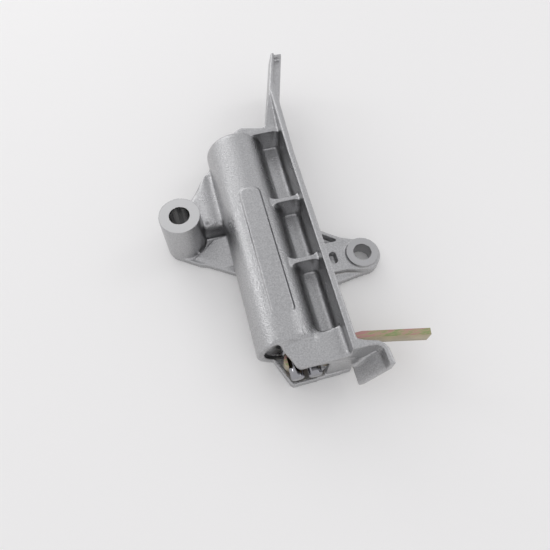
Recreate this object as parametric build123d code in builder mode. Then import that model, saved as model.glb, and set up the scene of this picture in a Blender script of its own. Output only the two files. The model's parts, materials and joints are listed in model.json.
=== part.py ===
"""Timing belt tensioner: cast housing with a spring plunger and a pivoting lever.

Frame: the origin is on the axis of the tall bolt pillar, in the plane of its foot.
Z runs along both bolt holes, away from the engine. Y runs along the plunger tube,
towards its closed end. The lever's long arm points along X.
"""
import math
import os

from build123d import *

os.makedirs("parts", exist_ok=True)

# Fits
RUN = 0.04            # radial clearance of a running fit
GAP = 0.3             # air between pieces that move past each other
CLEAR = 12.0          # how far a cutting shape runs past what it cuts

# Bolt pillar on the left
PILLAR_R = 9.4
PILLAR_H = 26.4
PILLAR_BORE = 9.0

# Ear that ties the pillar to the tube
EAR_H = 15.6
EAR_RIM_H = 3.0
EAR_TOP = [(24, 38.1), (17.3, 30), (12.7, 24.8), (6.3, 16.6), (-2, 6.5)]
EAR_LOW = [(-5.2, -7.8), (4.0, -13.9), (7.3, -15.0), (20.3, -23.3), (26, -27)]
EAR_STEP_Y = -0.9
EAR_BACK_H = 14.4
EAR_RIDGE_X = 13.4
EAR_RIDGE_R = 4.4
SLOPE_APEX = (13.0, -4.0, 7.4)
SLOPE_LEFT = (2.4, -10.2, 4.0)
SLOPE_RIGHT = (16.0, -19.0, 4.0)

# Bolt lug on the right
LUG_X = 80.2
LUG_Y = -28.4
LUG_R = 8.9
LUG_H = 6.0
LUG_RIM_H = 3.0
LUG_BOSS_R = 7.75
LUG_BOSS_H = 7.6
LUG_BORE = 8.4
LUG_TOP_EDGE = [(44, 3.5), (64.5, -11.0), (72.8, -17.2), (78.3, -19.6)]
LUG_LOW_EDGE = [(76.4, -36.5), (70.6, -34.9), (64.2, -34.7), (44, -34.7)]
LUG_RIM_EDGE = [(81.5, -37.0), (74.6, -37.8), (66.6, -39.1), (44, -42.5)]
LUG_WELL = [(60.5, -11.2), (65.2, -13.9), (71.2, -18.5), (60.5, -18.5)]
LUG_WELL_Z = 2.0
LUG_SLOT_X = 66.3
LUG_SLOT_Y = -27.2
LUG_SLOT_W = 2.9
LUG_SLOT_L = 6.0

# Plunger tube
TUBE_X = 33.3
TUBE_Z = 13.0
TUBE_R = 14.4
MOUTH_Y = -68.5
TUBE_END_Y = 42.0
TUBE_END_EDGE = 3.5
MOUTH_R = 11.0
MOUTH_DEPTH = 2.5
BORE_R = 9.0
BORE_END_Y = MOUTH_Y + 6.5

# Raised field on the crown of the tube
FIELD_W = 9.3
FIELD_TOP_Y = 6.2
FIELD_LOW_Y = MOUTH_Y + 11.3
FIELD_Z = 27.55
FIELD_CORNER = 2.2

# Belt wall, web, ribs and pockets
WALL_IN = [(54.5, MOUTH_Y - 11.1), (55.7, 20.0), (57.2, 62.0)]
WALL_OUT = [(60.6, 62.0), (58.6, 20.0), (57.4, MOUTH_Y - 10.5)]
WALL_Z0 = 3.0
WALL_H = 31.0
WEB_Z0 = 7.5
WEB_Z1 = 12.0
WEB_TOP_Y = 44.5
RIB_H = 24.5
RIB_T = 2.3
RIB_Y = (-1.4, -33.6)
END_WALL = [(33.4, 39.6), (33.4, 42.4), (36.2, 44.7), (38.6, 45.4), (48.3, 43.0), (50.4, 43.8)]
BACK_WALL_Y = MOUTH_Y + 1
BACK_WALL_T = 1.9
POCKET_R = 2.4
RIB_ROOT_R = 2.0

# Lever chamber at the lower end
PLATE_H = 23.0
PLATE_Z0 = 19.0
PLATE_ROOT_R = 2.2
PLATE_BACK_Y = MOUTH_Y + 1.9
PLATE_FRONT_Y = MOUTH_Y - 11.2
PLATE = [(28.5, MOUTH_Y + 0.5), (28.5, MOUTH_Y - 0.3), (33.1, PLATE_FRONT_Y + 0.8), (34.4, PLATE_FRONT_Y),
         (57.0, PLATE_FRONT_Y), (57.0, PLATE_BACK_Y), (36.0, PLATE_BACK_Y)]
SHOULDER_Y0 = MOUTH_Y + 2.9
SHOULDER_Y1 = MOUTH_Y - 2.5
FOOT_H = 4.0
FOOT_BACK_Y = MOUTH_Y + 4.5
FOOT_FRONT_Y = MOUTH_Y - 12.2
FOOT = [(26.3, FOOT_BACK_Y), (26.3, MOUTH_Y + 0.4), (26.5, MOUTH_Y - 1.5), (30.6, FOOT_FRONT_Y + 0.5),
        (32.0, FOOT_FRONT_Y - 0.8), (57.8, FOOT_FRONT_Y), (57.8, FOOT_BACK_Y)]
FRONT_WALL_X0 = 46.3
FRONT_WALL_T = 1.9
SLOT_Z0 = 6.0
SLOT_Y0 = MOUTH_Y - 8.5
SLOT_Y1 = MOUTH_Y + 1.6

# Hooked end of the belt wall
HOOK_BACK_Y = MOUTH_Y - 11.0
HOOK_TIP_Y = MOUTH_Y - 20.3
HOOK_IN = [(56.5, HOOK_BACK_Y), (61.3, HOOK_BACK_Y - 0.1), (65.0, HOOK_BACK_Y - 0.6),
           (66.2, HOOK_BACK_Y - 2.1), (66.4, HOOK_TIP_Y)]
HOOK_OUT = [(68.7, HOOK_TIP_Y), (68.5, HOOK_BACK_Y - 3.1), (67.6, HOOK_BACK_Y - 0.7),
            (65.6, HOOK_BACK_Y + 1.1), (60.2, HOOK_BACK_Y + 2.7), (57.0, HOOK_BACK_Y + 4.3)]
HOOK_SKIRT_Z = 23.0
HOOK_TOE_X = 58.0
HOOK_TOE_Z = 8.0
HOOK_T = 2.3
HOOK_BACK_T = 2.4

# Fin at the closed end
FIN_Y = 43.4
FIN_MEET_Y = 54.5
FIN_END_Y = 86.6
FIN_SIDE = (50.2, 0.300)
FIN_LIP = (53.1, 0.262)
FIN_RIGHT = (57.5, 0.294)
FIN_LAND_Y = 65.4
FIN_Z0 = 8.0
FIN_H = 27.0
FIN_LEAN_Z = 24.0
FIN_RIM_T = 1.6
FIN_RIM_H = 29.5
LIP_T = 1.7

# Lever pivot
PIVOT_X = 47.6
PIVOT_Y = MOUTH_Y - 4.9
PIVOT_D = 5.0
PIVOT_Z0 = 0.8
PIVOT_Z1 = 21.2
WASHER_T = 0.8
WASHER_R = 4.3
LEVER_BUSH_T = 0.8

# Lever
LEVER_Z0 = 9.25
LEVER_H = 7.5
HUB_R = 4.5
HEAD_W = 6.2
HEAD_X = 29.1
HEAD_Y = MOUTH_Y - 5.1
ARM_Y = MOUTH_Y - 1.9
ARM = [(50.0, ARM_Y), (58.0, ARM_Y - 0.1), (64.0, ARM_Y), (67.7, ARM_Y - 0.7), (79.7, ARM_Y - 3.1),
       (92.5, ARM_Y - 5.8)]
ARM_T = 2.9
NEST_Y = HEAD_Y + 1.6

# Two polished pins in the head of the lever
PIN_A_X = 33.2
PIN_A_NOSE_D = 4.6
PIN_A_D = 5.6
PIN_A_STEP_Y = HEAD_Y - 2.6
PIN_A_END_Y = HEAD_Y - 7.6
PIN_B_X = 40.7
PIN_B_D = 5.8
PIN_B_BACK_Y = HEAD_Y + 2.2
PIN_B_END_Y = HEAD_Y - 8.0
PIN_EDGE = 0.4

# Spring pack inside the tube
ROD_D = 7.6
ROD_NOSE_Y = HEAD_Y + HEAD_W / 2 + GAP
ROD_TAIL_Y = MOUTH_Y + 18.5
WIPER_T = 1.6
GUIDE_R = 5.2
FLANGE_R = 8.4
FLANGE_T = 1.5
BUMPER_T = 2.0
CUP_T = 5.0
CUP_SKIRT_LEN = 14.0
CUP_SKIRT_T = 1.4
BAND_W = 3.2
BAND_T = 0.9
COIL_R = 6.0
COIL_WIRE = 2.2
COIL_TURNS = 10
WIRE_SIDES = 6        # the hidden coil and seal have a six-sided section
PLUG_Y0 = 32.0
PLUG_Y1 = 39.2
PLUG_GROOVE = 1.3
SEAT_T = 1.5
STEM_D = 6.0
STEM_TIP_Y = -20.0
CLIP_T = 1.2
CLIP_R = 9.8
CLIP_IN_R = 7.4
CLIP_MOUTH = 5.0

ALONG_Y = Plane.XZ


def across_tube(y):
    """Plane square to the tube at height y along it. Its x is X and its y is Z."""
    return ALONG_Y.offset(-y)


def wall_at(y):
    """X of the inner face of the belt wall at a place along the tube."""
    (x0, y0), (x1, y1) = WALL_IN[:2] if y < WALL_IN[1][1] else WALL_IN[1:]
    return x0 + (x1 - x0) * (y - y0) / (y1 - y0)


def pocket_edges(part):
    """Edges of the pockets along the belt wall: the corners with the ribs, and the floor."""
    found = []
    for edge in part.edges():
        middle = edge.center(CenterOf.BOUNDING_BOX)
        size = edge.bounding_box().size
        by_wall = abs(middle.X - wall_at(middle.Y)) < 0.1
        corner = size.Z > RIB_T and size.Y < 0.1 and abs(middle.Y - WALL_IN[1][1]) > 1
        floor = abs(middle.Z - WEB_Z1) < 0.01 and size.Z < 0.01 and size.Y > RIB_T
        if by_wall and (corner or floor) and BACK_WALL_Y < middle.Y < END_WALL[0][1] + 0.1:
            found.append(edge)
    return found


def rib_roots(part):
    """Arcs where the ribs run on to the tube."""
    found = []
    for edge in part.edges().filter_by(GeomType.CIRCLE):
        middle = edge.center(CenterOf.BOUNDING_BOX)
        in_pocket = middle.X > TUBE_X + TUBE_R / 2 and middle.Z > WEB_Z1 + 1
        between = BACK_WALL_Y < middle.Y < END_WALL[0][1] - RIB_T
        if abs(edge.radius - TUBE_R) < 0.01 and in_pocket and between:
            found.append(edge)
    return found


# The tube's shoulder, which slopes down on to the plate over the lever
with BuildPart() as shoulder:
    with BuildSketch(across_tube(SHOULDER_Y1)):
        with Locations((TUBE_X, TUBE_Z)):
            Circle(TUBE_R)
        with Locations((PLATE[0][0] - CLEAR, TUBE_Z)):
            Rectangle(2 * CLEAR, 2.5 * TUBE_R, mode=Mode.SUBTRACT)
        with Locations((TUBE_X, PLATE_Z0 - TUBE_R)):
            Rectangle(3 * TUBE_R, 2 * TUBE_R, mode=Mode.SUBTRACT)
    extrude(amount=SHOULDER_Y1 - SHOULDER_Y0)
    with BuildSketch(Plane.YZ.offset(TUBE_X - TUBE_R)):
        with BuildLine():
            Polyline((SHOULDER_Y0, TUBE_Z + TUBE_R), (SHOULDER_Y1, PLATE_H),
                     (SHOULDER_Y1 - 1, TUBE_Z + 2 * TUBE_R), (SHOULDER_Y0, TUBE_Z + 2 * TUBE_R), close=True)
        make_face()
    extrude(amount=2 * TUBE_R, mode=Mode.SUBTRACT)
    with BuildSketch(Plane.XY.offset(PLATE_Z0)):
        with BuildLine():
            Polyline(PLATE[1], PLATE[2], (PLATE[2][0] - CLEAR, PLATE[2][1]), (PLATE[1][0] - CLEAR, PLATE[1][1]),
                     close=True)
        make_face()
    extrude(amount=TUBE_R, mode=Mode.SUBTRACT)

# The ear between pillar and tube: low rim, high back part with a rounded ridge, sloped front part
with BuildSketch() as ear_plan:
    with BuildLine():
        Polyline(*(EAR_TOP + EAR_LOW), close=True)
    make_face()
with BuildPart() as ridge:
    with BuildSketch(across_tube(EAR_STEP_Y)):
        with Locations((EAR_RIDGE_X, EAR_H - EAR_RIDGE_R)):
            Circle(EAR_RIDGE_R)
    extrude(amount=EAR_STEP_Y - EAR_TOP[0][1])
    extrude(ear_plan.sketch, amount=EAR_H, mode=Mode.INTERSECT)
with BuildPart() as ear_slope:
    with BuildSketch():
        with BuildLine():
            Polyline(SLOPE_APEX[:2], SLOPE_LEFT[:2], SLOPE_RIGHT[:2], (TUBE_X, SLOPE_RIGHT[1]),
                     (TUBE_X, SLOPE_APEX[1]), close=True)
        make_face()
    extrude(amount=EAR_H)
    split(bisect_by=Plane(Face(Wire.make_polygon([SLOPE_APEX, SLOPE_LEFT, SLOPE_RIGHT]))), keep=Keep.BOTTOM)
with BuildPart() as ear:
    extrude(ear_plan.sketch, amount=EAR_BACK_H)
    split(bisect_by=across_tube(EAR_STEP_Y), keep=Keep.BOTTOM)
    extrude(ear_plan.sketch, amount=EAR_RIM_H)
    add(ridge.part)
    add(ear_slope.part)

# The fin: a flange whose outer side leans in to a narrow lip, with a lower land and a rim at its end
def fin_point(line, y):
    """Point of one of the fin's long edges at a place along the tube."""
    return (line[0] + line[1] * (y - FIN_Y), y)


with BuildPart() as fin:
    with BuildSketch(Plane.XY.offset(FIN_Z0)):
        with BuildLine():
            Polyline(fin_point(FIN_SIDE, FIN_Y), fin_point(FIN_SIDE, FIN_END_Y), fin_point(FIN_RIGHT, FIN_END_Y),
                     fin_point(FIN_RIGHT, FIN_MEET_Y), (wall_at(FIN_Y) + 1, FIN_Y), close=True)
        make_face()
    extrude(amount=WALL_H - FIN_Z0)
    lean = [(*fin_point(FIN_SIDE, FIN_Y), FIN_LEAN_Z), (*fin_point(FIN_SIDE, FIN_END_Y), FIN_LEAN_Z),
            (*fin_point(FIN_LIP, FIN_END_Y), WALL_H)]
    split(bisect_by=Plane(Face(Wire.make_polygon(lean))), keep=Keep.TOP)
    fall = [(TUBE_X, FIN_Y, RIB_H), (WALL_IN[1][0], FIN_Y, RIB_H), (WALL_IN[1][0], FIN_MEET_Y + 8, WALL_H)]
    split(bisect_by=Plane(Face(Wire.make_polygon(fall))), keep=Keep.BOTTOM)
    groove = (FIN_LIP[0] + LIP_T, FIN_LIP[1])
    land_y = FIN_MEET_Y - 2
    rim_y = FIN_END_Y - FIN_RIM_T
    clear_x = fin_point(FIN_RIGHT, FIN_END_Y)[0] + CLEAR
    with BuildSketch(Plane.XY.offset(FIN_H)):
        with BuildLine():
            Polyline(fin_point(groove, rim_y), fin_point(groove, FIN_LAND_Y), fin_point(FIN_RIGHT, land_y),
                     (clear_x, land_y), (clear_x, rim_y), close=True)
        make_face()
    extrude(amount=WALL_H - FIN_H, mode=Mode.SUBTRACT)
    with BuildSketch(Plane.XY.offset(FIN_RIM_H)):
        with BuildLine():
            Polyline(fin_point(groove, rim_y), fin_point(groove, FIN_END_Y), (clear_x, FIN_END_Y),
                     (clear_x, rim_y), close=True)
        make_face()
    extrude(amount=WALL_H - FIN_RIM_H, mode=Mode.SUBTRACT)
    fillet(edges().filter_by(Axis.Z).group_by(Axis.Y)[-1].sort_by(Axis.X)[0], 0.6)

# The hook: wall turned outward, with a skirt that sweeps down and back under it
with BuildPart() as hook:
    with BuildSketch(Plane.XY.offset(HOOK_SKIRT_Z)):
        with BuildLine():
            Polyline(*(HOOK_IN + HOOK_OUT), close=True)
        make_face()
    extrude(amount=WALL_H - HOOK_SKIRT_Z)
    tip_in = HOOK_IN[-1][0]
    tip_out = HOOK_OUT[0][0]
    seam = (tip_in, HOOK_SKIRT_Z + 0.6)
    toe = (HOOK_TOE_X, HOOK_TOE_Z - 1)
    with BuildSketch(across_tube(HOOK_TIP_Y)):
        with BuildLine():
            Polyline(seam, (HOOK_TOE_X - 0.6, HOOK_TOE_Z + 0.6), toe, (HOOK_TOE_X + HOOK_T, toe[1]),
                     (tip_out, HOOK_SKIRT_Z), (tip_out, HOOK_SKIRT_Z + 3), (tip_in, HOOK_SKIRT_Z + 3), close=True)
        make_face()
    extrude(amount=HOOK_TIP_Y - HOOK_IN[1][1])
    with BuildSketch(across_tube(HOOK_IN[1][1])):
        with BuildLine():
            Polyline((tip_in, WALL_H - 4), seam, toe, (HOOK_TOE_X - 3, toe[1]), (HOOK_TOE_X - 3, WALL_H - 4),
                     close=True)
        make_face()
    extrude(amount=-HOOK_BACK_T)

with BuildPart() as housing:
    # Plunger tube, flattened where it lies on the engine
    with BuildSketch(across_tube(MOUTH_Y)):
        with Locations((TUBE_X, TUBE_Z)):
            Circle(TUBE_R)
    extrude(amount=MOUTH_Y - TUBE_END_Y)
    fillet(faces().sort_by(Axis.Y)[-1].edges(), TUBE_END_EDGE)
    add(shoulder.part)

    # Raised field
    with BuildSketch(Plane.XY.offset(TUBE_Z)):
        with Locations((TUBE_X, (FIELD_TOP_Y + FIELD_LOW_Y) / 2)):
            RectangleRounded(FIELD_W, FIELD_TOP_Y - FIELD_LOW_Y, FIELD_CORNER)
    extrude(amount=FIELD_Z - TUBE_Z)

    # Web, ribs and walls between the tube and the belt wall
    with BuildSketch(Plane.XY.offset(WEB_Z0)):
        with BuildLine():
            Polyline((TUBE_X, MOUTH_Y), (WALL_IN[0][0] + 1, MOUTH_Y), (wall_at(WEB_TOP_Y) + 1, WEB_TOP_Y),
                     (TUBE_X, WEB_TOP_Y), close=True)
        make_face()
    extrude(amount=WEB_Z1 - WEB_Z0)
    for y in RIB_Y:
        with BuildSketch(Plane.XY.offset(WEB_Z0)):
            with Locations(((TUBE_X + wall_at(y)) / 2, y)):
                Rectangle(wall_at(y) - TUBE_X + 1, RIB_T)
        extrude(amount=RIB_H - WEB_Z0)
    end_x = wall_at(FIN_Y) + 1
    with BuildSketch(Plane.XY.offset(WEB_Z0)):
        with BuildLine():
            Polyline(*END_WALL, (end_x, FIN_Y), (end_x, END_WALL[0][1]), close=True)
        make_face()
    extrude(amount=RIB_H - WEB_Z0)
    with BuildSketch():
        with Locations(((TUBE_X + 8 + wall_at(BACK_WALL_Y)) / 2, BACK_WALL_Y)):
            Rectangle(wall_at(BACK_WALL_Y) - TUBE_X - 7, BACK_WALL_T)
    extrude(amount=PLATE_H)
    with BuildSketch(Plane.XY.offset(WALL_Z0)):
        with BuildLine():
            Polyline(*(WALL_IN + WALL_OUT), close=True)
        make_face()
    extrude(amount=WALL_H - WALL_Z0)
    fillet(pocket_edges(housing.part), POCKET_R)
    fillet(rib_roots(housing.part), RIB_ROOT_R)

    # Plate over the lever, foot under it, and the wall between them
    with BuildSketch(Plane.XY.offset(PLATE_Z0)):
        with BuildLine():
            Polyline(*PLATE, close=True)
        make_face()
    extrude(amount=PLATE_H - PLATE_Z0)
    root_x = wall_at(PLATE_BACK_Y)
    root_top = (root_x, PLATE_H + PLATE_ROOT_R)
    root_foot = (root_x - PLATE_ROOT_R, PLATE_H)
    with BuildSketch(across_tube(PLATE_FRONT_Y + 0.2)):
        with BuildLine():
            RadiusArc(root_top, root_foot, PLATE_ROOT_R)
            Polyline(root_foot, (root_foot[0], PLATE_H - 1), (root_x + 0.3, PLATE_H - 1),
                     (root_x + 0.3, root_top[1]), root_top)
        make_face()
    extrude(amount=PLATE_FRONT_Y - PLATE_BACK_Y)
    with BuildSketch():
        with BuildLine():
            Polyline(*FOOT, close=True)
        make_face()
    extrude(amount=FOOT_H)
    with BuildSketch():
        with Locations(((FRONT_WALL_X0 + HOOK_TOE_X) / 2 + 0.1, FOOT_FRONT_Y + FRONT_WALL_T / 2 + 0.6)):
            Rectangle(HOOK_TOE_X - FRONT_WALL_X0 + 0.2, FRONT_WALL_T)
    extrude(amount=PLATE_Z0)

    add(fin.part)
    add(hook.part)
    add(ear.part)

    # Right lug with its low rim
    with BuildSketch():
        with BuildLine():
            Polyline(*(LUG_TOP_EDGE + LUG_LOW_EDGE), close=True)
        make_face()
        with Locations((LUG_X, LUG_Y)):
            Circle(LUG_R)
    extrude(amount=LUG_H)
    with BuildSketch():
        with BuildLine():
            Polyline(*(LUG_TOP_EDGE[:2] + LUG_RIM_EDGE), close=True)
        make_face()
    extrude(amount=LUG_RIM_H)
    with BuildSketch():
        with Locations((LUG_X, LUG_Y)):
            Circle(LUG_BOSS_R)
    extrude(amount=LUG_BOSS_H)
    with BuildSketch(Plane.XY.offset(LUG_WELL_Z)):
        with BuildLine():
            Polyline(*LUG_WELL, close=True)
        make_face()
        with Locations((LUG_SLOT_X, LUG_SLOT_Y)):
            RectangleRounded(LUG_SLOT_W, LUG_SLOT_L, 1.2)
    extrude(amount=2 * LUG_H, mode=Mode.SUBTRACT)

    # Tall pillar
    with BuildSketch():
        Circle(PILLAR_R)
    extrude(amount=PILLAR_H)

    # The mounting plane is milled flat
    split(bisect_by=Plane.XY, keep=Keep.TOP)

    # Inside of the tube: cast mouth, rod hole, spring bore and clip groove
    for y0, y1, radius in ((MOUTH_Y, MOUTH_Y + MOUTH_DEPTH, MOUTH_R), (MOUTH_Y, BORE_END_Y, GUIDE_R),
                           (BORE_END_Y, TUBE_END_Y, BORE_R),
                           (PLUG_Y1, PLUG_Y1 + CLIP_T, CLIP_R)):
        with BuildSketch(across_tube(y0)):
            with Locations((TUBE_X, TUBE_Z)):
                Circle(radius)
        extrude(amount=y0 - y1, mode=Mode.SUBTRACT)

    # Bosses that carry the lever's pivot, and the bores and slot
    with BuildSketch():
        with Locations((PIVOT_X, PIVOT_Y)):
            Circle(WASHER_R)
    extrude(amount=LEVER_Z0 - WASHER_T - 2 * RUN)
    with BuildSketch(Plane.XY.offset(LEVER_Z0 + LEVER_H + WASHER_T + 2 * RUN)):
        with Locations((PIVOT_X, PIVOT_Y)):
            Circle(WASHER_R)
    extrude(until=Until.NEXT)
    with BuildSketch():
        with Locations((PIVOT_X, PIVOT_Y)):
            Circle(PIVOT_D / 2)
    extrude(amount=PIVOT_Z1, mode=Mode.SUBTRACT)
    with BuildSketch(Plane.XY.offset(SLOT_Z0)):
        with Locations((WALL_IN[0][0] + 3, (SLOT_Y0 + SLOT_Y1) / 2)):
            Rectangle(8, SLOT_Y1 - SLOT_Y0)
    extrude(amount=PLATE_Z0 - SLOT_Z0, mode=Mode.SUBTRACT)
    with BuildSketch():
        Circle(PILLAR_BORE / 2)
        with Locations((LUG_X, LUG_Y)):
            Circle(LUG_BORE / 2)
    extrude(amount=PILLAR_H, mode=Mode.SUBTRACT)


def turned(steps):
    """Round piece on the axis of the tube from steps of (start Y, end Y, outer radius, hole radius)."""
    with BuildPart() as piece:
        for y0, y1, outer, inner in steps:
            with BuildSketch(across_tube(y0)):
                with Locations((TUBE_X, TUBE_Z)):
                    Circle(outer)
                    if inner:
                        Circle(inner, mode=Mode.SUBTRACT)
            extrude(amount=y0 - y1)
    return piece.part


def pin_along_y(x, steps, edge):
    """Stepped pin parallel to the tube, with both ends chamfered."""
    with BuildPart() as piece:
        for y0, y1, diameter in steps:
            with BuildSketch(across_tube(y0)):
                with Locations((x, TUBE_Z)):
                    Circle(diameter / 2)
            extrude(amount=y0 - y1)
        chamfer(faces().sort_by(Axis.Y)[0].edges(), edge)
        chamfer(faces().sort_by(Axis.Y)[-1].edges(), edge)
    return piece.part


# Lever: tongue, hub and a thick head with an open nest for the first pin
with BuildPart() as lever:
    with BuildSketch(Plane.XY.offset(LEVER_Z0)):
        with BuildLine():
            Polyline(*ARM)
        trace(line_width=ARM_T)
        with Locations((PIVOT_X, PIVOT_Y)):
            Circle(HUB_R)
        with Locations((HEAD_X + HEAD_W / 2, HEAD_Y)):
            Circle(HEAD_W / 2)
        with Locations(((HEAD_X + HEAD_W / 2 + PIVOT_X) / 2, HEAD_Y)):
            Rectangle(PIVOT_X - HEAD_X - HEAD_W / 2, HEAD_W)
    extrude(amount=LEVER_H)
    with BuildSketch(Plane.XY.offset(TUBE_Z)):
        with Locations((PIN_A_X, NEST_Y - HEAD_W / 2)):
            Rectangle(PIN_A_D - 0.2, HEAD_W)
    extrude(amount=LEVER_H, mode=Mode.SUBTRACT)
    for x, y, radius in ((PIN_A_X, NEST_Y, PIN_A_D / 2), (PIN_B_X, PIN_B_BACK_Y, PIN_B_D / 2)):
        with BuildSketch(across_tube(y)):
            with Locations((x, TUBE_Z)):
                Circle(radius)
        extrude(amount=HEAD_W, mode=Mode.SUBTRACT)
    with BuildSketch(Plane.XY.offset(LEVER_Z0)):
        with Locations((PIVOT_X, PIVOT_Y)):
            Circle(PIVOT_D / 2 + LEVER_BUSH_T)
    extrude(amount=LEVER_H, mode=Mode.SUBTRACT)

pin_a_steps = ((NEST_Y, PIN_A_STEP_Y, PIN_A_NOSE_D), (PIN_A_STEP_Y, PIN_A_END_Y, PIN_A_D))
pin_a = pin_along_y(PIN_A_X, pin_a_steps, PIN_EDGE)
pin_b = pin_along_y(PIN_B_X, ((PIN_B_BACK_Y, PIN_B_END_Y, PIN_B_D),), PIN_EDGE)

# Pivot: pin fixed in the housing, bush fixed in the lever, a washer on each side
with BuildPart() as pivot_pin:
    with BuildSketch(Plane.XY.offset(PIVOT_Z0)):
        with Locations((PIVOT_X, PIVOT_Y)):
            Circle(PIVOT_D / 2)
    extrude(amount=PIVOT_Z1 - PIVOT_Z0)
    chamfer(faces().sort_by(Axis.Z)[0].edges(), PIN_EDGE)

with BuildPart() as lever_bush:
    with BuildSketch(Plane.XY.offset(LEVER_Z0)):
        with Locations((PIVOT_X, PIVOT_Y)):
            Circle(PIVOT_D / 2 + LEVER_BUSH_T)
            Circle(PIVOT_D / 2 + RUN, mode=Mode.SUBTRACT)
    extrude(amount=LEVER_H)

washers = []
for z0 in (LEVER_Z0 - WASHER_T - RUN, LEVER_Z0 + LEVER_H + RUN):
    with BuildPart() as washer:
        with BuildSketch(Plane.XY.offset(z0)):
            with Locations((PIVOT_X, PIVOT_Y)):
                Circle(WASHER_R)
                Circle(PIVOT_D / 2 + RUN, mode=Mode.SUBTRACT)
        extrude(amount=WASHER_T)
    washers.append(washer.part)

# Spring pack, from the mouth of the tube to its closed end
rod = turned(((ROD_NOSE_Y, ROD_TAIL_Y, ROD_D / 2, 0),))
wiper = turned(((MOUTH_Y + MOUTH_DEPTH, MOUTH_Y + MOUTH_DEPTH + WIPER_T, GUIDE_R, ROD_D / 2 + RUN),))
guide = turned(((MOUTH_Y + MOUTH_DEPTH + WIPER_T, BORE_END_Y, GUIDE_R, ROD_D / 2 + RUN),
                (BORE_END_Y, BORE_END_Y + FLANGE_T, FLANGE_R, ROD_D / 2 + RUN)))
bumper = turned(((BORE_END_Y + FLANGE_T, BORE_END_Y + FLANGE_T + BUMPER_T, FLANGE_R, ROD_D / 2 + GAP),))
cup_y0 = BORE_END_Y + FLANGE_T + BUMPER_T + GAP
cup_face = cup_y0 + CUP_T
cup_r = BORE_R - RUN
band_y0 = cup_y0 + (CUP_T - BAND_W) / 2
cup = turned(((cup_y0, band_y0, cup_r, ROD_D / 2), (band_y0, band_y0 + BAND_W, cup_r - BAND_T, ROD_D / 2),
              (band_y0 + BAND_W, cup_face, cup_r, ROD_D / 2),
              (cup_face, cup_face + CUP_SKIRT_LEN, cup_r, cup_r - CUP_SKIRT_T)))
band = turned(((band_y0, band_y0 + BAND_W, cup_r, cup_r - BAND_T),))
plug_mid = (PLUG_Y0 + PLUG_Y1) / 2
plug = turned(((PLUG_Y0, plug_mid - PLUG_GROOVE, BORE_R, 0),
               (plug_mid - PLUG_GROOVE, plug_mid + PLUG_GROOVE, BORE_R - PLUG_GROOVE, 0),
               (plug_mid + PLUG_GROOVE, PLUG_Y1, BORE_R, 0)))
seat = turned(((PLUG_Y0 - SEAT_T, PLUG_Y0, BORE_R - GAP, STEM_D / 2),))
stem = turned(((STEM_TIP_Y, PLUG_Y0, STEM_D / 2, 0),))

with BuildPart() as plug_ring:
    with BuildSketch(Plane.XY.offset(TUBE_Z)):
        with Locations((TUBE_X + BORE_R - PLUG_GROOVE / 2, plug_mid)):
            RegularPolygon(PLUG_GROOVE / 2, WIRE_SIDES)
    revolve(axis=Axis((TUBE_X, 0, TUBE_Z), (0, 1, 0)))

with BuildPart() as clip:
    with BuildSketch(across_tube(PLUG_Y1)):
        with Locations((TUBE_X, TUBE_Z)):
            Circle(CLIP_R)
            Circle(CLIP_IN_R, mode=Mode.SUBTRACT)
        with Locations((TUBE_X, TUBE_Z - CLIP_R)):
            Rectangle(CLIP_MOUTH, CLIP_R, mode=Mode.SUBTRACT)
    extrude(amount=-CLIP_T)

coil_y0 = cup_face
coil_y1 = PLUG_Y0 - SEAT_T
coil_len = coil_y1 - coil_y0
coil_path = Helix(coil_len / COIL_TURNS, coil_len, COIL_R)
with BuildPart() as spring:
    with BuildSketch(Plane(origin=coil_path @ 0, z_dir=coil_path % 0)):
        RegularPolygon(COIL_WIRE / 2, WIRE_SIDES)
    sweep(path=coil_path, is_frenet=True)
    split(bisect_by=Plane.XY.offset(0.01), keep=Keep.TOP)
    split(bisect_by=Plane.XY.offset(coil_len - 0.01), keep=Keep.BOTTOM)
spring_part = Location((TUBE_X, coil_y0, TUBE_Z), (-90, 0, 0)) * spring.part

pieces = {
    "housing": housing.part, "lever": lever.part, "lever_bush": lever_bush.part, "pivot_pin": pivot_pin.part,
    "washer_lower": washers[0], "washer_upper": washers[1], "head_pin_outer": pin_a, "head_pin_inner": pin_b,
    "plunger_rod": rod, "rod_wiper": wiper, "guide_bush": guide, "bumper_ring": bumper, "spring_cup": cup,
    "guide_band": band, "main_spring": spring_part, "spring_seat": seat, "guide_stem": stem,
    "end_plug": plug, "plug_seal": plug_ring.part, "plug_clip": clip.part,
}
for name, piece in pieces.items():
    piece.label = name
    export_step(piece, f"parts/{name}.step")
    print(name, len(piece.solids()), piece.is_valid, round(piece.volume))
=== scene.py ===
# %% [markdown]
# # Timing belt tensioner
# This lesson dresses a finished CAD part for a picture. The solids of a cast housing, a lever and a
# spring pack are loaded as a fixed frame. Around them we build softer, more lifelike surfaces, give
# each piece the finish of its real material, and light it as a plain product photograph. Blender
# counts in metres and the part's sizes are told in millimetres, so one value turns the second into
# the first.

# %% Load the frame
import json
import math

import bpy
from mathutils import Matrix, Vector


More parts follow.
